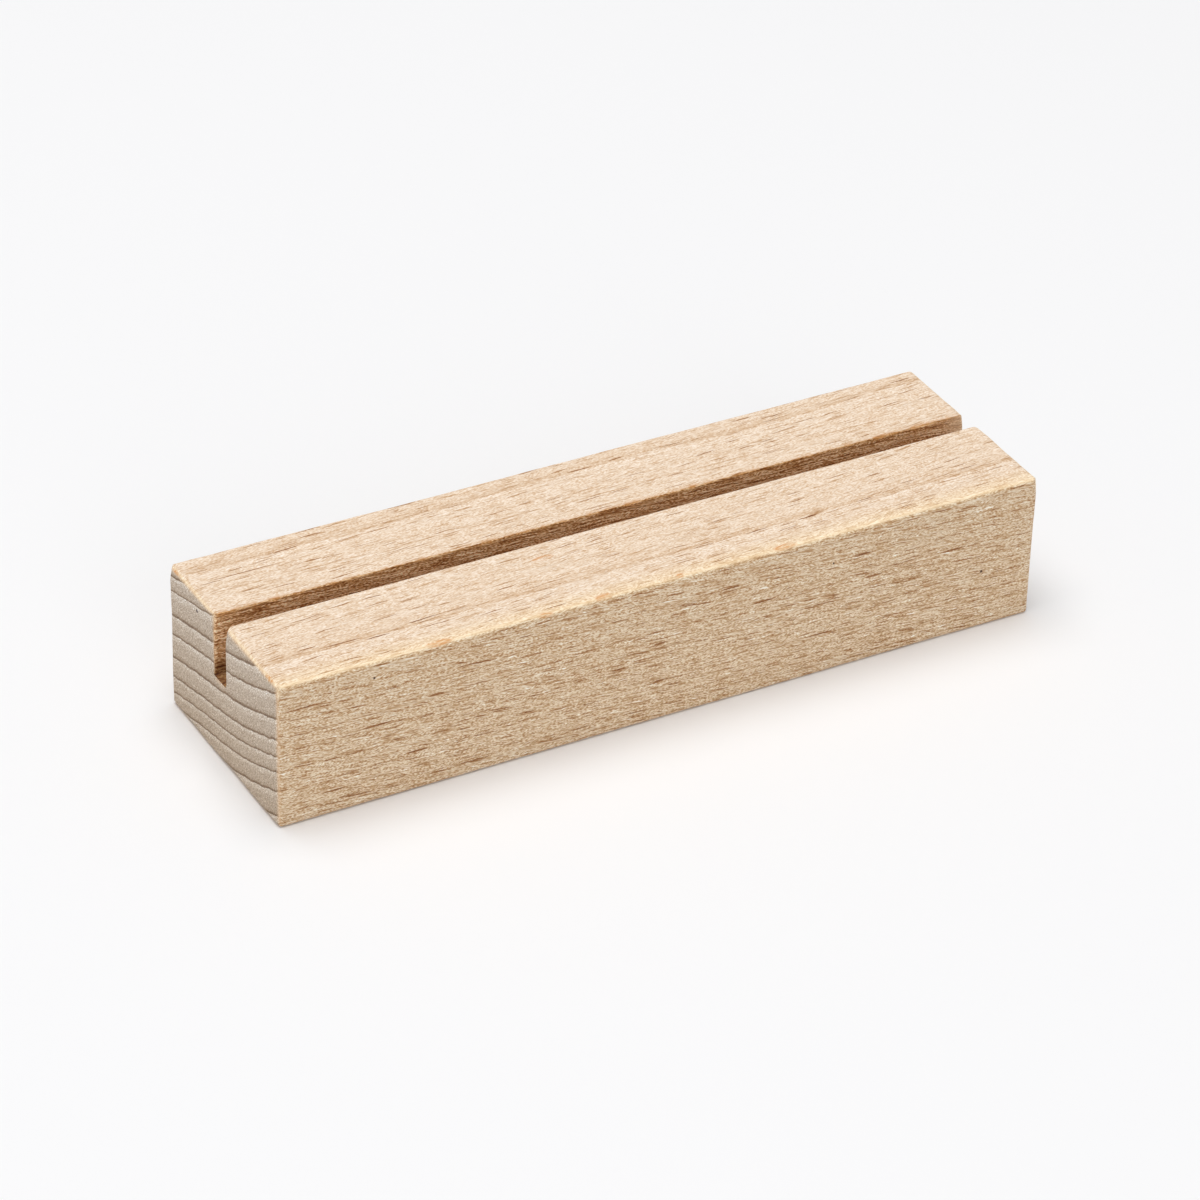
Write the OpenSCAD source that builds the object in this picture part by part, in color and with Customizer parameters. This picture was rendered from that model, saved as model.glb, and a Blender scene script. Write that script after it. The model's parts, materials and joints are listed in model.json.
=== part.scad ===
// Wooden photo block: one solid block of beech with a saw-cut slot along its whole top.
// A print or card stands upright in the slot, and the block's own weight keeps it up.
// X runs along the slot, the front face looks along -Y, and +Z is up.
// The origin is the centre of the face that the block rests on. Sizes are in millimetres.

/* [Block] */
// Length of the block, along the grain and the slot
block_length = 105; // [60:1:200]
// Width of the block, from its front face to its rear face
block_width = 30; // [26:0.5:60]
// Height of the block, from the table to its top face
block_height = 20; // [16:0.5:40]

/* [Slot] */
// Width of the slot, which is what the saw blade removes
slot_width = 3.2; // [1:0.1:5]
// Depth of the slot below the top face
slot_depth = 8.5; // [3:0.5:12]
// Thickness of the wood in front of the slot, a little more than behind it
front_lip = 14.15; // [6:0.05:18]

/* [Sanded edges] */
// Radius of the four long edges of the block
long_edge_r = 0.7; // [0.2:0.1:2]
// Radius of the edges round each end face
end_edge_r = 0.9; // [0.2:0.1:2]
// Radius of the slot's two long edges, along its mouth
slot_edge_r = 0.2; // [0.1:0.05:0.6]
// Radius of the slot's upright edges, where it opens through each end face
slot_end_r = 0.6; // [0.1:0.05:0.9]

/* [Hidden] */
// Middle of the slot, from front to rear
slot_y = -block_width / 2 + front_lip + slot_width / 2;
// Height of the slot's floor above the table
slot_floor_z = block_height - slot_depth;
// How far a cut or a profile runs past the face that it ends beyond
overrun = 1;
$fn = 64;

// A flat shape, drawn across the block, becomes a bar along X.
module along_x(length) {
    rotate([90, 0, 90]) linear_extrude(height = length, center = true) children();
}

// A flat shape, drawn as seen from the front, becomes a bar along Y.
module along_y(length) {
    rotate([90, 0, 0]) linear_extrude(height = length, center = true) children();
}

// A rectangle with four round corners, centred on its own middle
module rounded_rectangle(width, height, r) {
    square([width - 2 * r, height], center = true);
    square([width, height - 2 * r], center = true);
    for (side = [-1, 1], end = [-1, 1])
        translate([side * (width / 2 - r), end * (height / 2 - r)]) circle(r = r);
}

// The section of a gap that opens at y = 0, with its two lips rounded over
module eased_gap(width, depth, r) {
    translate([-width / 2, -depth]) square([width, depth + overrun]);
    difference() {
        translate([-width / 2 - r, -r]) square([width + 2 * r, r + overrun]);
        for (side = [-1, 1]) translate([side * (width / 2 + r), -r]) circle(r = r);
    }
}

// The block before it is slotted, where three rounded outlines meet
module blank() {
    long_run = block_length + 2 * overrun;
    cross_run = block_width + 2 * overrun;
    intersection() {
        translate([0, 0, block_height / 2])
            along_x(long_run) rounded_rectangle(block_width, block_height, long_edge_r);
        translate([0, 0, block_height / 2])
            along_y(cross_run) rounded_rectangle(block_length, block_height, end_edge_r);
        translate([0, 0, -overrun])
            linear_extrude(height = block_height + 2 * overrun)
                rounded_rectangle(block_length, block_width, end_edge_r);
    }
}

// The saw's cut along the top, open at both ends, with its mouth eased
module saw_cut() {
    translate([0, slot_y, block_height])
        along_x(block_length + 2 * overrun) eased_gap(slot_width, slot_depth, slot_edge_r);
}

// What sanding takes off the slot's upright edges, where it opens through an end face
module end_easing() {
    translate([block_length / 2, slot_y, slot_floor_z])
        linear_extrude(height = slot_depth + overrun)
            rotate(-90) eased_gap(slot_width, slot_end_r, slot_end_r);
}

module slotted_block() {
    color([0.87, 0.76, 0.65])
        difference() {
            blank();
            saw_cut();
            end_easing();
            mirror([1, 0, 0]) end_easing();
        }
}

slotted_block();
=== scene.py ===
"""A wooden photo block: one sanded block of beech with a saw-cut slot along its top."""
import json
from math import cos, pi, radians, sin, tan
from types import SimpleNamespace

import bpy
import numpy as np
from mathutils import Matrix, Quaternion, Vector


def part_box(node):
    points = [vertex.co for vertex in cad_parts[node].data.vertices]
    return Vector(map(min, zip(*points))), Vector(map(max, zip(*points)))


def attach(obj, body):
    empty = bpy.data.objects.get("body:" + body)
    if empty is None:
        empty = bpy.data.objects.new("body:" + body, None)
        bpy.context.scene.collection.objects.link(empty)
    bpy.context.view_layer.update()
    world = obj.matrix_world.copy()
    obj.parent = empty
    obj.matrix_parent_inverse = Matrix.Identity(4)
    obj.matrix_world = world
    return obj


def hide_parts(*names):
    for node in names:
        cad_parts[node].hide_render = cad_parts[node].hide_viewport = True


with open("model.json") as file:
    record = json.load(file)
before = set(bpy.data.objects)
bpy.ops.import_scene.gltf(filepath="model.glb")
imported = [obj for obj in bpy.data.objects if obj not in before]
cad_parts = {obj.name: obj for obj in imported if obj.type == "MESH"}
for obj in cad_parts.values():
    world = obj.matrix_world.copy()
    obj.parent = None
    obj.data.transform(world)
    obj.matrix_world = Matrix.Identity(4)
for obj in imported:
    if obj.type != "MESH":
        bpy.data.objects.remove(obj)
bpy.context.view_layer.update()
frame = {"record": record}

MM = 0.001
# The first seed, and what is added to it for each thing that is uneven
SEED = 7
END_SEED = 20
UPRIGHT_SEED = 40
TEAR_SEED = 60
LIP_SEED = 63
SAW_SEED = 70
SHORT_WAVE_SEED = 10
# Places closer together than this are one place
SAME = 1e-6

# Sizes in millimetres, in the frame's axes: X along the slot, -Y out of the front face, Z up
low_corner, high_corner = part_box("slotted_block")
LENGTH, WIDTH, HEIGHT = (round(size / MM, 3) for size in high_corner - low_corner)
slot_mount = next(m for m in frame["record"]["mounts"] if m["name"] == "photo_slot")
SLOT_Y = slot_mount["pos_m"][1] / MM
FLOOR_Z = slot_mount["pos_m"][2] / MM
SLOT_WIDTH = 3.2
SLOT_FRONT = SLOT_Y - SLOT_WIDTH / 2
SLOT_REAR = SLOT_Y + SLOT_WIDTH / 2
# A face further in than this from the block's outer faces belongs to the slot
INSIDE = 0.01

# Faces that meet at the eased edges, each as (axis, place, inward sign)
FRONT = (1, -WIDTH / 2, 1)
REAR = (1, WIDTH / 2, -1)
TOP = (2, HEIGHT, -1)
BOTTOM = (2, 0.0, 1)
ENDS = (0, -LENGTH / 2, 1), (0, LENGTH / 2, -1)
LIP_WALL = (1, SLOT_FRONT, -1)
REAR_WALL = (1, SLOT_REAR, 1)

# Mean radii that sanding left on the edges
FRONT_TOP_R = 0.8
REAR_TOP_R = 0.65
BOTTOM_R = 0.55
END_R = 0.9
UPRIGHT_R = END_R * 0.8
SLOT_END_R = 0.35
LIP_EDGE_R = 0.12
# What is added to an upright edge's radius at a top corner, and how far below the corner that starts
CORNER_R = 0.7
SLOT_CORNER_R = 1.3 * CORNER_R
CORNER_REACH = 3.0
# Height above the slot's floor at which its upright edges have their whole radius, and how worn they are
SLOT_END_RISE = 0.6
SLOT_END_WEAR = 0.5
# How a radius wanders along its edge: the share and the length of its long waves, then of its short ones
LONG_EDGE_WAVES = (0.16, 17, 0.08, 2.5)
END_EDGE_WAVES = (0.2, 6, 0.08, 1.2)
LIP_SHARE = 0.3
LIP_WAVE = 3
# A square corner lies about this share of the radius outside the arc that replaces it
CORNER_TO_ARC = 0.42

# The slot's rear edge, where the saw tore it: its least radius, and what the deepest tear adds
TORN_EDGE_R = 0.12
TORN_DEPTH = 0.52
# How torn it is on the whole, and the share and the length of the waves in that
TORN_SHARE = 0.2
TEARS = [(0.25, 5), (0.5, 1.3), (0.6, 0.7)]
# How far from that edge the wood is browned, the weight of height in that distance, and the least share
BROWN_REACH = 0.6
BROWN_STRETCH = 0.8
LEAST_BROWN = 0.35
# The saw's marks on the slot's walls: length, height and depth of the pits, then of the ridges
SAW_MARKS = [(1.6, 0.35, 0.05), (5.0, 0.8, 0.05)]
# How far these marks stay from the slot's floor, its mouth and its ends
FLOOR_MARGIN = 0.1
MOUTH_MARGIN = 0.35
END_MARGIN = 0.5

# Spacing of the mesh's grid lines: at a rounded edge, along the block, in plain wood, and in the slot
EDGE_PITCH = 0.12
LENGTH_PITCH = 0.35
PLAIN_PITCH = 1.2
WALL_PITCH = 0.33
SLOT_FLOOR_PITCH = 0.6
# How far in from an edge the closer lines go
END_REACH = 1.2
TOP_REACH = 1.2
SIDE_REACH = 1.08
BOTTOM_REACH = 0.84
MOUTH_REACH = 0.6
# Space between two faces of the block on the map that an export may use
MAP_GAP = 0.8

# Growth rings: arcs about the tree's pith, which lay above and behind the block
PITH_Y = 50.5
PITH_Z = 186.0
RING_RADII = [168.4, 171.2, 173.2, 176.7, 179.4, 182.7, 185.5, 187.7, 189.8, 192.4, 195.7, 198.6]
# How far a ring strays from its arc: in even waves, in slow and fine uneven ones, and in one bend
RING_WAVE = 0.2
RING_WAVE_LENGTH = 24.0
RING_SLOW = 0.9
RING_FINE = 0.45
RING_BEND = 0.7

# The fibres lean a little as they run to the right: to the rear on the top, and down on the front
LEAN_REAR = radians(2.4)
LEAN_DOWN = radians(2.8)
# Marks on the front and rear faces are wider than on the top, because those faces cut the rays at a slant
SLANT = 1.4
# Noises that several looks share: patches per millimetre along the fibres, across them and into the wood
SPECKLE = (3.2, 7.0, 7.0)
STRANDS = (0.7, 4.2, 4.2)
HAIRS = (0.2, 4.8, 4.8)
STREAKS = (0.3, 2.2, 2.2)
# How fast red, green and blue fade as wood gets darker: cut along the grain, across it, and by the saw
LONG_FADE = (1.0, 1.66, 2.5)
END_FADE = (1.0, 1.28, 1.62)
SAWN_FADE = (1.0, 1.55, 2.3)
# How far the fibres stand out
RELIEF = 0.06

# Places that the sanding browned, most of them along the top's edges: centre and half sizes on each axis
SMUDGES = [
    ((-31.3, -14.7, 19.8), (2.2, 0.5, 0.5)),
    ((-17.2, -14.7, 19.6), (1.5, 0.4, 0.4)),
    ((-9.3, -14.6, 19.8), (1.5, 0.6, 0.5)),
    ((1.2, -14.6, 19.8), (0.7, 0.4, 0.4)),
    ((15.8, -14.6, 19.8), (1.9, 0.5, 0.5)),
    ((-52.4, 13.2, 19.8), (0.35, 1.2, 0.35)),
    ((-52.3, -12.6, 19.8), (0.35, 1.2, 0.35)),
    ((-11.8, -4.0, 20.0), (1.8, 0.6, 0.3)),
]
# Bold marks that stand out: centre and half sizes on each axis
MARKS = [
    ((-39.6, -15.0, 10.85), (2.6, 1.0, 0.17)),
    ((-48.8, -15.0, 16.2), (3.0, 1.0, 0.12)),
    ((-34.3, -15.0, 5.6), (1.9, 1.0, 0.16)),
    ((-31.7, -15.0, 12.85), (1.4, 1.0, 0.2)),
    ((40.3, -15.0, 12.75), (2.2, 1.0, 0.16)),
    ((28.7, -15.0, 12.25), (1.5, 1.0, 0.18)),
    ((13.0, -15.0, 13.05), (1.8, 1.0, 0.16)),
    ((8.2, -15.0, 16.3), (1.7, 1.0, 0.13)),
    ((-7.0, -15.0, 9.0), (1.3, 1.0, 0.16)),
    ((-1.4, -15.0, 11.1), (1.0, 1.0, 0.18)),
    ((21.2, -15.0, 5.85), (2.6, 1.0, 0.12)),
    ((-45.2, -15.0, 3.35), (2.2, 1.0, 0.13)),
    ((-44.9, 9.2, 20.0), (5.8, 0.1, 1.0)),
    ((-34.4, 13.2, 20.0), (1.8, 0.13, 1.0)),
    ((-21.2, 14.4, 20.0), (1.9, 0.12, 1.0)),
    ((-36.7, 8.0, 20.0), (1.3, 0.12, 1.0)),
    ((2.0, 12.1, 20.0), (2.2, 0.13, 1.0)),
    ((-41.5, -9.9, 20.0), (3.0, 0.12, 1.0)),
]
# A thin broken line along the top behind the slot: centre and half sizes on each axis
FAINT_MARKS = [
    ((-46.5, 6.6, 20.0), (4.6, 0.13, 1.0)),
    ((-36.0, 6.4, 20.0), (5.4, 0.13, 1.0)),
    ((-24.5, 6.2, 20.0), (5.0, 0.15, 1.0)),
    ((-12.0, 6.1, 20.0), (6.8, 0.14, 1.0)),
    ((3.0, 5.9, 20.0), (7.4, 0.14, 1.0)),
    ((19.5, 5.8, 20.0), (7.0, 0.12, 1.0)),
    ((36.0, 5.9, 20.0), (7.6, 0.12, 1.0)),
]
# Pinholes: centre and radius
HOLES = [
    ((-52.5, 6.9, 17.9), 0.3),
    ((-39.9, -15.0, 17.6), 0.19),
    ((44.8, -15.0, 8.3), 0.22),
    ((22.8, -15.0, 15.7), 0.16),
]


def camera():
    """Camera as in the photograph: a long lens from the left, in front and above."""
    place = Vector((-0.24643, -0.42885, 0.32574))
    azimuth, elevation, roll = radians(29.745), radians(32.695), radians(1.70)
    looks = Vector((sin(azimuth) * cos(elevation), cos(azimuth) * cos(elevation), -sin(elevation)))
    lens = bpy.data.cameras.new("camera")
    lens.sensor_width = 36.0
    lens.lens = 142.86
    lens.clip_start = 0.01
    eye = bpy.data.objects.new("camera", lens)
    eye.location = place
    eye.rotation_mode = "QUATERNION"
    eye.rotation_quaternion = looks.to_track_quat("-Z", "Y") @ Quaternion((0, 0, 1), roll)
    bpy.context.scene.collection.objects.link(eye)
    bpy.context.scene.camera = eye


def shade(red, green, blue):
    """A colour written as it looks on a screen, 0 to 255, as the linear colour that a shader takes."""
    return tuple(((c / 255 + 0.055) / 1.055) ** 2.4 for c in (red, green, blue)) + (1.0,)


def patches(u, v, size_u, size_v, seed):
    """Smooth random values from -1 to 1, in patches of about the given size, read at the places u, v."""
    knots_u = int(np.ceil((u.max() - u.min()) / size_u)) + 2
    knots_v = int(np.ceil((v.max() - v.min()) / size_v)) + 2
    values = np.random.default_rng(SEED + seed).uniform(-1, 1, (knots_u, knots_v))
    a, b = (u - u.min()) / size_u, (v - v.min()) / size_v
    i, j = a.astype(int), b.astype(int)
    a, b = a - i, b - j
    a, b = a * a * (3 - 2 * a), b * b * (3 - 2 * b)
    near = values[i, j] * (1 - a) + values[i + 1, j] * a
    far = values[i, j + 1] * (1 - a) + values[i + 1, j + 1] * a
    return near * (1 - b) + far * b


def wander(u, size, seed):
    """The same along one line."""
    return patches(u, np.zeros_like(u), size, 1.0, seed)


def uneven(u, long_share, long_size, short_share, short_size, seed):
    """A factor about 1 that wanders along an edge, in long waves and in short ones."""
    long_wave = long_share * wander(u, long_size, seed)
    return 1 + long_wave + short_share * wander(u, short_size, seed + SHORT_WAVE_SEED)


def near_top(z):
    """From 0 where a corner's extra rounding starts to 1 at the top."""
    return np.clip(1 - (HEIGHT - z) / CORNER_REACH, 0, 1) ** 2


def grid_lines(low, high, pitch, low_reach, high_reach):
    """Grid lines from low to high, closer together within each end's reach, where an edge is rounded."""
    near_low = np.arange(0, low_reach - EDGE_PITCH / 2, EDGE_PITCH)
    near_high = np.arange(0, high_reach - EDGE_PITCH / 2, EDGE_PITCH)
    middle_size = high - low - low_reach - high_reach
    middle = np.linspace(low + low_reach, high - high_reach, round(middle_size / pitch) + 1)
    return np.concatenate([low + near_low, middle, high - near_high[::-1]])


def lattice():
    """The planes that cut the block into cells, along each axis, and which cells are wood."""
    xs = grid_lines(-LENGTH / 2, LENGTH / 2, LENGTH_PITCH, END_REACH, END_REACH)
    ys = np.unique(np.concatenate([
        grid_lines(-WIDTH / 2, SLOT_FRONT, PLAIN_PITCH, SIDE_REACH, MOUTH_REACH),
        grid_lines(SLOT_FRONT, SLOT_REAR, SLOT_FLOOR_PITCH, 0, 0),
        grid_lines(SLOT_REAR, WIDTH / 2, PLAIN_PITCH, MOUTH_REACH, SIDE_REACH),
    ]).round(5))
    zs = np.unique(np.concatenate([
        grid_lines(0, FLOOR_Z, PLAIN_PITCH, BOTTOM_REACH, 0),
        grid_lines(FLOOR_Z, HEIGHT, WALL_PITCH, 0, TOP_REACH),
    ]).round(5))
    y_mid, z_mid = (ys[1:] + ys[:-1]) / 2, (zs[1:] + zs[:-1]) / 2
    in_slot = (y_mid > SLOT_FRONT) & (y_mid < SLOT_REAR)
    section = ~(in_slot[:, None] & (z_mid > FLOOR_Z)[None, :])
    wood = np.broadcast_to(section, (len(xs) - 1,) + section.shape)
    return (xs, ys, zs), wood


def skin(wood):
    """The squares between wood and air: their corners as grid indices, wound outwards, and their facing."""
    corners, facing = [], []
    padded = np.pad(wood, 1).astype(np.int8)
    windings = {-1: ((0, 0), (1, 0), (1, 1), (0, 1)), 1: ((0, 0), (0, 1), (1, 1), (1, 0))}
    for axis in range(3):
        b, c = (axis + 1) % 3, (axis + 2) % 3
        step = np.diff(padded, axis=axis)
        for sign, loop in windings.items():
            at = np.argwhere(step == sign)
            at[:, b] -= 1
            at[:, c] -= 1
            square = np.repeat(at[:, None, :], 4, axis=1)
            for corner, (plus_b, plus_c) in enumerate(loop):
                square[:, corner, b] += plus_b
                square[:, corner, c] += plus_c
            corners.append(square)
            facing.append(np.full((len(square), 2), (axis, -sign)))
    return np.concatenate(corners), np.concatenate(facing)


def ease(co, first, second, radius):
    """Rounds the edge between two faces. Says how far each point moved, from 0 to about 1 at the edge."""
    (a, at_a, in_a), (b, at_b, in_b) = first, second
    u, v = (co[:, a] - at_a) * in_a, (co[:, b] - at_b) * in_b
    reach = np.hypot(u - radius, v - radius)
    hit = (u > -SAME) & (v > -SAME) & (u < radius) & (v < radius) & (reach > radius)
    pull = np.where(hit, radius / np.maximum(reach, SAME), 1.0)
    co[hit, a] = (at_a + in_a * (radius + (u - radius) * pull))[hit]
    co[hit, b] = (at_b + in_b * (radius + (v - radius) * pull))[hit]
    return np.where(hit, (reach - radius) / np.maximum(CORNER_TO_ARC * radius, SAME), 0.0)


def sand_edges(co):
    """Eases every outer edge by hand: each radius wanders along its edge. Says how worn each point is."""
    x, y, z = co.T.copy()
    worn = np.zeros(len(co))
    long_edges = [
        (FRONT, TOP, FRONT_TOP_R),
        (REAR, TOP, REAR_TOP_R),
        (FRONT, BOTTOM, BOTTOM_R),
        (REAR, BOTTOM, BOTTOM_R),
    ]
    for seed, (one, other, radius) in enumerate(long_edges):
        worn = np.maximum(worn, ease(co, one, other, radius * uneven(x, *LONG_EDGE_WAVES, seed)))
    for seed, end in enumerate(ENDS):
        for one in (TOP, BOTTOM):
            radius = END_R * uneven(y, *END_EDGE_WAVES, END_SEED + seed)
            worn = np.maximum(worn, ease(co, end, one, radius))
        for one in (FRONT, REAR):
            radius = UPRIGHT_R * uneven(z, *END_EDGE_WAVES, UPRIGHT_SEED + seed) + CORNER_R * near_top(z)
            worn = np.maximum(worn, ease(co, end, one, radius))
    return worn


def ease_slot(co):
    """Eases the slot's mouth and ends. The mouth's rear edge, where the saw came out, is torn and brown."""
    x, y, z = co.T.copy()
    torn = TORN_SHARE
    for seed, (share, size) in enumerate(TEARS, TEAR_SEED):
        torn = torn + share * wander(x, size, seed)
    torn = np.clip(torn, 0, 1)
    ease(co, LIP_WALL, TOP, LIP_EDGE_R * (1 + LIP_SHARE * wander(x, LIP_WAVE, LIP_SEED)))
    ease(co, REAR_WALL, TOP, TORN_EDGE_R + TORN_DEPTH * torn)
    end_r = SLOT_END_R * np.clip((z - FLOOR_Z) / SLOT_END_RISE, 0, 1) + SLOT_CORNER_R * near_top(z)
    worn = np.zeros(len(co))
    for end in ENDS:
        for wall in (LIP_WALL, REAR_WALL):
            worn = np.maximum(worn, SLOT_END_WEAR * ease(co, end, wall, end_r))
    from_edge = np.hypot(y - SLOT_REAR, (HEIGHT - z) * BROWN_STRETCH)
    near_edge = np.clip(1 - from_edge / BROWN_REACH, 0, 1)
    return (LEAST_BROWN + (1 - LEAST_BROWN) * torn) * near_edge, worn


def roughen_slot(co):
    """Leaves the saw's marks on the slot's walls."""
    x, y, z = co.T.copy()
    clear = (z > FLOOR_Z + FLOOR_MARGIN) & (z < HEIGHT - MOUTH_MARGIN)
    clear &= np.abs(x) < LENGTH / 2 - END_MARGIN
    depth = 0
    for seed, (length, height, deep) in enumerate(SAW_MARKS, SAW_SEED):
        depth = depth + deep * (0.5 + 0.5 * patches(x, z, length, height, seed))
    for place, into in ((SLOT_FRONT, -1), (SLOT_REAR, 1)):
        on = clear & (np.abs(y - place) < SAME)
        co[on, 1] += into * depth[on]


def bake_map(mesh, corners, facing, wall, slot_floor):
    """Lays the block's faces flat, side by side and to one scale, as the map that an export may use."""
    shelf = {}
    height = MAP_GAP
    for key in (2, 1), (2, -1), (1, -1), (1, 1):
        shelf[key] = height
        height += (WIDTH if key[0] == 2 else HEIGHT) + MAP_GAP
    wall_height = HEIGHT - FLOOR_Z + MAP_GAP
    walls = {-1: height, 1: height + wall_height}
    floor_at = height + 2 * wall_height
    side = max(floor_at + SLOT_WIDTH + MAP_GAP, LENGTH + HEIGHT + 3 * MAP_GAP)
    x, y, z = corners.transpose(2, 0, 1)
    axis, sign = facing[:, :1], facing[:, 1:]
    u = np.where(axis == 0, LENGTH + 2 * MAP_GAP + z, x + LENGTH / 2 + MAP_GAP)
    v = np.where(axis == 0, y + WIDTH / 2 + np.where(sign > 0, MAP_GAP, WIDTH + 2 * MAP_GAP), 0.0)
    for (face_axis, face_sign), at in shelf.items():
        on = (axis == face_axis) & (sign == face_sign)
        v = np.where(on, at + (y + WIDTH / 2 if face_axis == 2 else z), v)
    for face_sign, at in walls.items():
        v = np.where(wall[:, None] & (sign == face_sign), at + z - FLOOR_Z, v)
    v = np.where(slot_floor[:, None], floor_at + y - SLOT_FRONT, v)
    layer = mesh.uv_layers.new(name="OFBake")
    layer.data.foreach_set("uv", (np.stack([u, v], -1) / side).astype(np.float32).ravel())


def block_mesh():
    """The whole block as one closed mesh on a fine grid, with eased edges and a sawn slot."""
    lines, wood = lattice()
    squares, facing = skin(wood)
    size = [len(line) for line in lines]
    flat = (squares[..., 0] * size[1] + squares[..., 1]) * size[2] + squares[..., 2]
    used, loops = np.unique(flat, return_inverse=True)
    loops = loops.reshape(-1, 4)
    index = np.stack(np.unravel_index(used, size), -1)
    places = np.stack([lines[k][index[:, k]] for k in range(3)], -1)
    co = places.copy()
    roughen_slot(co)
    torn, slot_worn = ease_slot(co)
    worn = np.maximum(sand_edges(co), slot_worn)
    mesh = bpy.data.meshes.new("photo_block")
    mesh.from_pydata((co * MM).tolist(), [], loops.tolist())
    mesh.shade_smooth()
    corners = places[loops]
    y, z = corners.mean(1)[:, 1:].T
    wall = (facing[:, 0] == 1) & (np.abs(y) < WIDTH / 2 - INSIDE)
    slot_floor = (facing[:, 0] == 2) & (facing[:, 1] > 0) & (z < HEIGHT - INSIDE)
    sawn = wall | slot_floor
    for name, domain, value in ("worn", "POINT", worn), ("torn", "POINT", torn), ("sawn", "FACE", sawn):
        mesh.attributes.new(name, "FLOAT", domain).data.foreach_set("value", value.astype(np.float32))
    bake_map(mesh, corners, facing, wall, slot_floor)
    return mesh


class Graph:
    """Adds nodes to one material. Each call makes a node, fills its inputs and gives an output back."""

    def __init__(self, material):
        material.use_nodes = True
        self.nodes = material.node_tree.nodes
        self.links = material.node_tree.links
        self.nodes.clear()

    def add(self, kind, inputs, out=0, **settings):
        node = self.nodes.new("ShaderNode" + kind)
        for name, value in settings.items():
            setattr(node, name, value)
        for key, value in inputs.items():
            if isinstance(value, bpy.types.NodeSocket):
                self.links.new(value, node.inputs[key])
            else:
                node.inputs[key].default_value = value
        return node.outputs[out] if node.outputs else None

    def math(self, operation, *values):
        return self.add("Math", dict(enumerate(values)), operation=operation)

    def vector(self, x, y, z):
        return self.add("CombineXYZ", {"X": x, "Y": y, "Z": z})

    def rise(self, value, low, high, to_low=0.0, to_high=1.0):
        """A smooth step from to_low to to_high as the value goes from low to high."""
        inputs = {"Value": value, "From Min": low, "From Max": high, "To Min": to_low, "To Max": to_high}
        return self.add("MapRange", inputs, interpolation_type="SMOOTHSTEP")

    def mix(self, share, first, second, blend="MIX"):
        return self.add("MixRGB", {"Fac": share, "Color1": first, "Color2": second}, blend_type=blend)

    def stain(self, colour, tone, fade=LONG_FADE):
        """Lightens or darkens wood by a tone about 0. Green and blue fade faster, so dark wood is brown."""
        share = [self.math("EXPONENT", self.math("MULTIPLY", tone, rate)) for rate in fade]
        return self.mix(1.0, colour, self.vector(*share), "MULTIPLY")

    def blend(self, *weighted):
        """The sum of (value, weight) pairs."""
        result = 0.0
        for value, weight in weighted:
            result = self.add("Math", {0: value, 1: weight, 2: result}, operation="MULTIPLY_ADD")
        return result

    def attribute(self, name):
        """A value that the mesh holds."""
        return self.add("Attribute", {}, out="Fac", attribute_name=name)

    def noise(self, place, scale, detail=2.0, roughness=0.5):
        """Soft noise, mostly within 0.5 of 0. The scale is patches per millimetre on each axis."""
        sized = self.add("VectorMath", {0: place, 1: scale}, operation="MULTIPLY")
        inputs = {"Vector": sized, "Scale": 1.0, "Detail": detail, "Roughness": roughness}
        return self.math("SUBTRACT", self.add("TexNoise", inputs), 0.5)

    def spindles(self, place, size, share):
        """Scattered spindles with the given half lengths, in the given share of the places for one."""
        scale = tuple(0.5 / s for s in size)
        sized = self.add("VectorMath", {0: place, 1: scale}, operation="MULTIPLY")
        cell = self.add("TexVoronoi", {"Vector": sized, "Scale": 1.0}, out="Distance")
        chance = self.add("SeparateColor", {"Color": cell.node.outputs["Color"]}, out="Red")
        strength = self.rise(chance.node.outputs["Green"], 0.0, 1.0, 0.35, 1.0)
        drawn = self.math("GREATER_THAN", chance, 1 - share)
        return self.math("MULTIPLY", self.math("MULTIPLY", self.rise(cell, 0.5, 0.33), drawn), strength)


def ring_phase(g, w):
    """How far through its year's growth each point is, from 0 just after one ring line to 1 at the next."""
    across = g.math("SUBTRACT", w.y, PITH_Y)
    below = g.math("SUBTRACT", w.z, PITH_Z)
    squares = g.math("ADD", g.math("MULTIPLY", across, across), g.math("MULTIPLY", below, below))
    radius = g.math("SQRT", squares)
    turn = g.math("SINE", g.math("MULTIPLY", g.math("SUBTRACT", w.y, 1.0), 2 * pi / RING_WAVE_LENGTH))
    slow = g.noise(w.place, (0.02, 0.02, 0.02), 1.0)
    fine = g.noise(w.place, (0.06, 0.6, 0.6), 2.0)
    # Behind the left end, the uppermost line in the block turns to the rear
    uppermost = g.rise(radius, RING_RADII[1] + 1.4, RING_RADII[1] + 0.2)
    bend = g.math("MULTIPLY", g.rise(w.x, -LENGTH / 2 + 0.2, -LENGTH / 2 + 1.2), uppermost)
    for amount, wave in ((RING_WAVE, turn), (RING_SLOW, slow), (RING_FINE, fine), (RING_BEND, bend)):
        radius = g.math("ADD", radius, g.math("MULTIPLY", wave, amount))
    low, high = RING_RADII[0], RING_RADII[-1]
    ramp = g.add("ValToRGB", {"Fac": g.math("DIVIDE", g.math("SUBTRACT", radius, low), high - low)})
    stops = ramp.node.color_ramp.elements
    last = len(RING_RADII) - 1
    stops[1].color = (1, 1, 1, 1)
    for count, ring in enumerate(RING_RADII[1:-1], 1):
        stop = stops.new((ring - low) / (high - low))
        stop.color = (count / last, count / last, count / last, 1)
    return g.math("FRACT", g.math("MULTIPLY", ramp, last))


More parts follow.
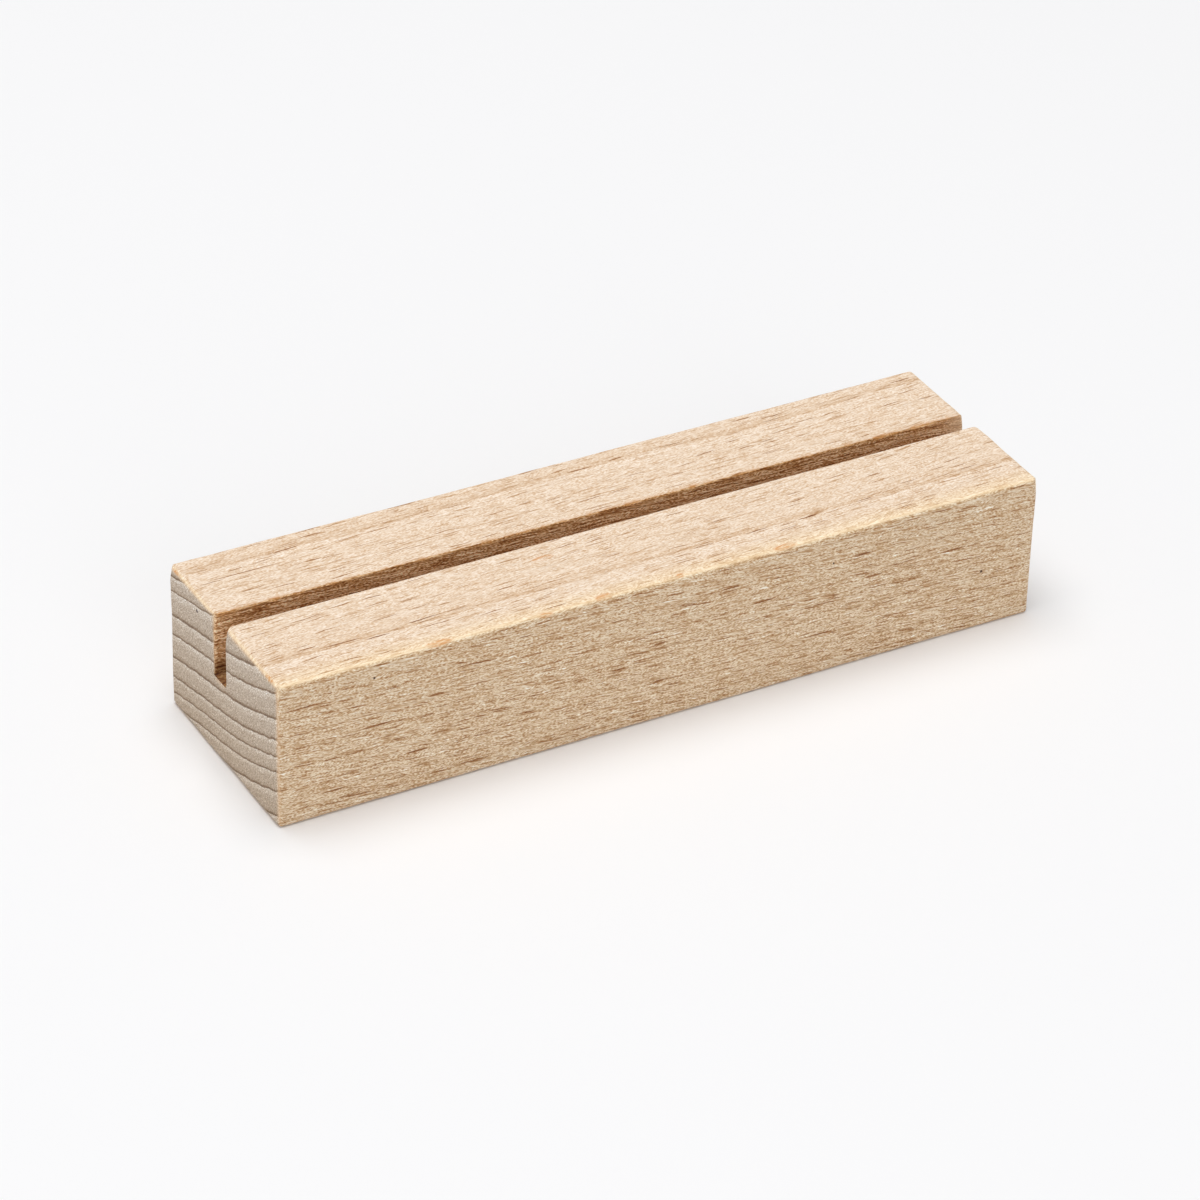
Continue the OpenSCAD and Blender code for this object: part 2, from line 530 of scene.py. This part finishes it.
def spots(g, place, centres_and_sizes):
    """Lens-shaped spots at the given centres, with the given half sizes."""
    found = None
    for centre, size in centres_and_sizes:
        away = g.add("VectorMath", {0: place, 1: centre}, operation="SUBTRACT")
        sized = g.add("VectorMath", {0: away, 1: tuple(1 / s for s in size)}, operation="MULTIPLY")
        spot = g.rise(g.add("VectorMath", {0: sized}, out="Value", operation="LENGTH"), 1.0, 0.55)
        found = g.math("MAXIMUM", found, spot) if found else spot
    return found


def grain(g):
    """Where each point lies in the wood, how the surface cuts it, and the noises that looks share."""
    w = SimpleNamespace()
    object_place = g.add("TexCoord", {}, out="Object")
    w.place = g.add("VectorMath", {0: object_place, "Scale": 1 / MM}, operation="SCALE")
    split = g.add("SeparateXYZ", {0: w.place}).node.outputs
    w.x, w.y, w.z = split["X"], split["Y"], split["Z"]
    normal = g.add("SeparateXYZ", {0: g.add("TexCoord", {}, out="Normal")}).node.outputs
    facing_y = g.math("ABSOLUTE", normal["Y"])
    w.end_cut = g.rise(g.math("ABSOLUTE", normal["X"]), 0.6, 1.0)
    w.side_cut = g.rise(facing_y, 0.3, 0.9)

    # Fibre coordinates: along the fibres, across them on the surface, and into the wood
    slow_sway = g.noise(w.place, (0.03, 0.05, 0.05), 1.0)
    quick_sway = g.noise(w.place, (0.3, 1.0, 1.0), 2.0)
    sway = g.blend((slow_sway, 1.0), (quick_sway, 0.6))
    lean_y = g.blend((w.y, 1.0), (w.x, -tan(LEAN_REAR)), (sway, 1.0))
    lean_z = g.blend((w.z, 1.0), (w.x, tan(LEAN_DOWN)), (sway, 1.0))
    along = g.blend((w.x, 1.0), (g.noise(w.place, (0.05, 1.1, 1.1), 1.0), 5.0))
    w.turned = g.math("GREATER_THAN", facing_y, 0.7)
    w.fibre = g.mix(w.turned, g.vector(along, lean_y, lean_z), g.vector(along, lean_z, w.y))

    w.speckle = g.noise(w.fibre, SPECKLE, 0.0)
    w.strands = g.noise(w.fibre, STRANDS, 1.0)
    w.hairs = g.noise(w.fibre, HAIRS, 1.0)
    w.streaks = g.noise(w.fibre, STREAKS, 1.0)
    # Fine dark lines follow the places where the streaks pass zero, and break where the strands are pale
    passes = g.rise(g.math("ABSOLUTE", w.streaks), 0.045, 0.0)
    w.threads = g.math("MULTIPLY", passes, g.rise(w.strands, 0.08, -0.08))

    # Through a year's growth the wood is pale, then even, then shades off to a thin dark line
    phase = ring_phase(g, w)
    w.line = g.math("MULTIPLY", g.rise(phase, 0.86, 0.96), g.rise(phase, 1.0, 0.98))
    w.year = g.blend((g.rise(phase, 0.4, 0.02), 0.2), (g.rise(phase, 0.68, 1.0), -0.24))
    w.row = g.math("MAXIMUM", g.rise(phase, 0.8, 0.95), g.rise(phase, 0.12, 0.0))

    w.worn = g.rise(g.attribute("worn"), 0.0, 0.8)
    w.sawn = g.attribute("sawn")
    w.torn = g.attribute("torn")
    w.holes = spots(g, w.place, [(centre, (radius,) * 3) for centre, radius in HOLES])
    return w


def by_cut(g, w, on_top, on_side):
    """A value that differs between the top, or underside, and the sides."""
    return g.rise(w.side_cut, 0.0, 1.0, on_top, on_side)


def long_wood(g, w):
    """Wood cut along its grain, with the rays' dark dashes. The sides are darker, partly from the cut and
    partly as painted shade, and more mottled.
    """
    slant = g.mix(w.turned, (1, 1, 1, 1), (1, 1 / SLANT, 1, 1))
    cut = g.add("VectorMath", {0: w.fibre, 1: slant}, operation="MULTIPLY")
    aside = g.add("VectorMath", {0: cut, 1: (31.0, 17.0, 5.0)}, operation="ADD")
    bold = g.spindles(cut, size=(1.9, 0.085, 2.6), share=0.11)
    fine = g.spindles(aside, size=(1.5, 0.07, 1.5), share=0.3)
    pale = g.spindles(w.fibre, size=(0.9, 0.085, 1.2), share=0.22)
    dashes = g.blend(
        (bold, by_cut(g, w, 1.1, 0.65)),
        (fine, by_cut(g, w, 0.42, 0.6)),
        (w.threads, by_cut(g, w, 0.1, 0.32)),
    )
    # Dashes are darker beside a ring's line
    dashes = g.math("MULTIPLY", dashes, g.rise(w.row, 0.0, 1.0, 0.85, 1.15))
    faint = g.math("MULTIPLY", spots(g, w.place, FAINT_MARKS), g.rise(w.strands, -0.25, 0.1, 0.0, 0.35))
    marks = g.math("MAXIMUM", g.math("MULTIPLY", spots(g, w.place, MARKS), 0.9), faint)
    dashes = g.math("MAXIMUM", dashes, marks)

    tone = g.blend(
        (w.speckle, by_cut(g, w, 0.75, 1.5)),
        (w.strands, by_cut(g, w, 0.24, 0.65)),
        (w.hairs, by_cut(g, w, 0.26, 0.75)),
        (w.streaks, 0.04),
        (w.line, -0.08),
    )
    # Nothing glints: the bright side of the tone is capped
    tone = g.math("SMOOTH_MIN", tone, by_cut(g, w, 0.12, 0.2), 0.1)
    tone = g.blend(
        (tone, 1.0),
        (w.year, by_cut(g, w, 0.16, 0.08)),
        (dashes, -1.0),
        (pale, by_cut(g, w, 0.05, 0.22)),
    )
    # The sides are darker than the top: partly the wood's own colour across the rings, partly painted shade
    wood = g.mix(w.side_cut, shade(240, 216, 190), shade(223, 195, 160))
    # The top is paler and yellower towards the front edge
    near_front = g.rise(w.y, -WIDTH / 2 + 3.2, -WIDTH / 2 + 0.4, 0.0, 0.4)
    front_band = g.math("MULTIPLY", near_front, g.rise(w.z, HEIGHT - 1.0, HEIGHT))
    return g.stain(g.mix(front_band, wood, shade(250, 222, 176)), tone)


def end_wood(g, w):
    """Wood cut across its grain: fine pores between the ring lines."""
    pores = g.noise(w.place, (2.0, 4.6, 4.6), 1.0)
    tone = g.blend(
        (w.year, 1.25),
        (g.rise(pores, 0.12, 0.3), -0.3),
        (pores, 1.1),
        (w.speckle, 1.6),
        (w.line, g.rise(w.streaks, -0.3, 0.2, -0.85, -0.5)),
    )
    # Painted shade: the end grain is darker towards the bottom
    wood = g.mix(g.rise(w.z, 0.0, HEIGHT), shade(199, 177, 152), shade(208, 188, 166))
    return g.stain(wood, tone, END_FADE)


def sawn_wood(g, w):
    """The slot's walls and floor: darker fibres that the saw left, a browned strip along the mouth, painted
    shade that deepens towards the floor, and painted light at the right-hand end.
    """
    # Painted shade: the walls darken more and more towards the slot's floor
    wood = g.mix(g.rise(w.z, FLOOR_Z, FLOOR_Z + 3.5), shade(196, 146, 88), shade(222, 176, 126))
    floor_shade = g.rise(w.z, FLOOR_Z + 2.8, FLOOR_Z + 0.3, 0.0, 0.72)
    wood = g.mix(floor_shade, wood, shade(104, 60, 22))
    ragged_z = g.blend((w.z, 1.0), (w.streaks, 1.0), (w.strands, 0.5))
    strip = g.rise(ragged_z, HEIGHT - 0.6, HEIGHT - 0.15)
    wood = g.mix(strip, wood, shade(226, 176, 118))
    under_strip = g.math("MULTIPLY", g.rise(w.z, HEIGHT - 1.0, HEIGHT - 0.75),
                         g.rise(w.z, HEIGHT - 0.3, HEIGHT - 0.5))
    # The floor is ragged, where the blade's teeth tore it
    on_floor = g.rise(w.z, FLOOR_Z + 0.4, FLOOR_Z + 0.1)
    torn_floor = g.math("MULTIPLY", on_floor, g.noise(w.place, (1.5, 2.4, 2.4)))
    furrows = g.blend(
        (g.noise(w.fibre, (0.2, 5.0, 5.0), 1.0), 2.8),
        (w.speckle, 2.3),
        (w.strands, 0.9),
        (under_strip, -0.25),
        (torn_floor, 3.5),
    )
    wood = g.stain(wood, g.math("SMOOTH_MIN", furrows, 0.5, 0.2), SAWN_FADE)
    # Painted light: the slot's right-hand end is paler, as light comes in there through the open end
    right_end_light = g.rise(w.x, LENGTH / 2 - 4.5, LENGTH / 2 - 0.5, 0.0, 0.6)
    return g.mix(right_end_light, wood, shade(228, 192, 154))


def beech():
    """Sanded, untreated beech: rings, rays, fibres and pores in one solid grain, seen on every cut."""
    material = bpy.data.materials.new("beech")
    g = Graph(material)
    w = grain(g)
    colour = g.mix(w.end_cut, long_wood(g, w), end_wood(g, w))
    colour = g.mix(w.sawn, colour, sawn_wood(g, w))
    colour = g.mix(g.math("MULTIPLY", w.torn, g.rise(w.strands, -0.15, 0.05)), colour, shade(202, 140, 76))

    # Sanded edges are paler, most along the top, where their cream is partly the sanding and partly a
    # painted highlight. A few places are browned.
    upper = g.rise(w.z, HEIGHT - 2.0, HEIGHT - 1.2)
    edge = g.mix(upper, shade(226, 188, 146), shade(255, 230, 192))
    edge = g.mix(g.math("MULTIPLY", w.end_cut, 0.8), edge, shade(222, 178, 132))
    share = g.math("MULTIPLY", w.worn, g.rise(upper, 0.0, 1.0, 0.45, 0.75))
    edge_tone = g.blend((w.strands, 0.3), (w.hairs, 0.5), (w.streaks, 0.3), (w.speckle, 0.15))
    colour = g.mix(share, colour, g.stain(edge, edge_tone))
    patchy = g.blend((w.strands, 1.0), (w.hairs, 1.0), (w.streaks, 0.5))
    browned = g.math("MULTIPLY", spots(g, w.place, SMUDGES), g.rise(patchy, -0.2, 0.16, 0.0, 0.85))
    colour = g.mix(browned, colour, shade(218, 149, 80))
    colour = g.mix(w.holes, colour, shade(80, 56, 40))

    # Fibres stand out except on the worn edges, which are also smoother
    fibres = g.blend((w.speckle, 1.0), (w.strands, 0.8), (w.hairs, 0.8))
    height = g.blend((fibres, g.math("SUBTRACT", 1.0, w.worn)), (w.holes, -1.0))
    bump = g.add("Bump", {"Strength": 1.0, "Distance": RELIEF * MM, "Height": height}, out="Normal")
    rough = g.blend((w.speckle, 0.2), (w.worn, -0.26), (0.62, 1.0))
    shader = g.add("BsdfPrincipled", {
        "Base Color": colour,
        "Roughness": rough,
        "Normal": bump,
        "Specular IOR Level": 0.4,
    })
    g.add("OutputMaterial", {"Surface": shader})
    return material


def photo_block():
    """The block, which stands for the CAD node of the same shape."""
    block = bpy.data.objects.new("photo_block", block_mesh())
    bpy.context.scene.collection.objects.link(block)
    block.data.materials.append(beech())
    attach(block, "root")
    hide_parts("slotted_block")


def floor():
    """A plain pale floor that keeps the block's shadow."""
    half = 2.0
    mesh = bpy.data.meshes.new("floor")
    corners = [(-half, -half, 0), (half, -half, 0), (half, half, 0), (-half, half, 0)]
    mesh.from_pydata(corners, [], [(0, 1, 2, 3)])
    ground = bpy.data.objects.new("floor", mesh)
    bpy.context.scene.collection.objects.link(ground)
    material = bpy.data.materials.new("floor")
    g = Graph(material)
    shader = g.add("BsdfPrincipled", {"Base Color": shade(246, 246, 247), "Roughness": 0.9})
    g.add("OutputMaterial", {"Surface": shader})
    mesh.materials.append(material)


def lamp(name, place, size, power):
    """A square soft light, aimed at the middle of the floor."""
    light = bpy.data.lights.new(name, "AREA")
    light.shape = "SQUARE"
    light.size = size
    light.energy = power
    lamp_object = bpy.data.objects.new(name, light)
    lamp_object.location = place
    lamp_object.rotation_euler = (-Vector(place)).to_track_quat("-Z", "Y").to_euler()
    bpy.context.scene.collection.objects.link(lamp_object)


def lights():
    """Soft studio light: a large lamp overhead, a weaker one in front, and a pale surround."""
    lamp("key", (-0.15, 0.1, 1.6), size=1.2, power=19.0)
    lamp("front", (-0.25, -1.5, 0.6), size=1.0, power=4.6)
    world = bpy.data.worlds.new("surround")
    world.use_nodes = True
    background = world.node_tree.nodes["Background"]
    background.inputs["Color"].default_value = (1, 1, 1, 1)
    background.inputs["Strength"].default_value = 0.36
    bpy.context.scene.world = world


camera()
bpy.context.scene.view_settings.view_transform = "Standard"
photo_block()
floor()
lights()
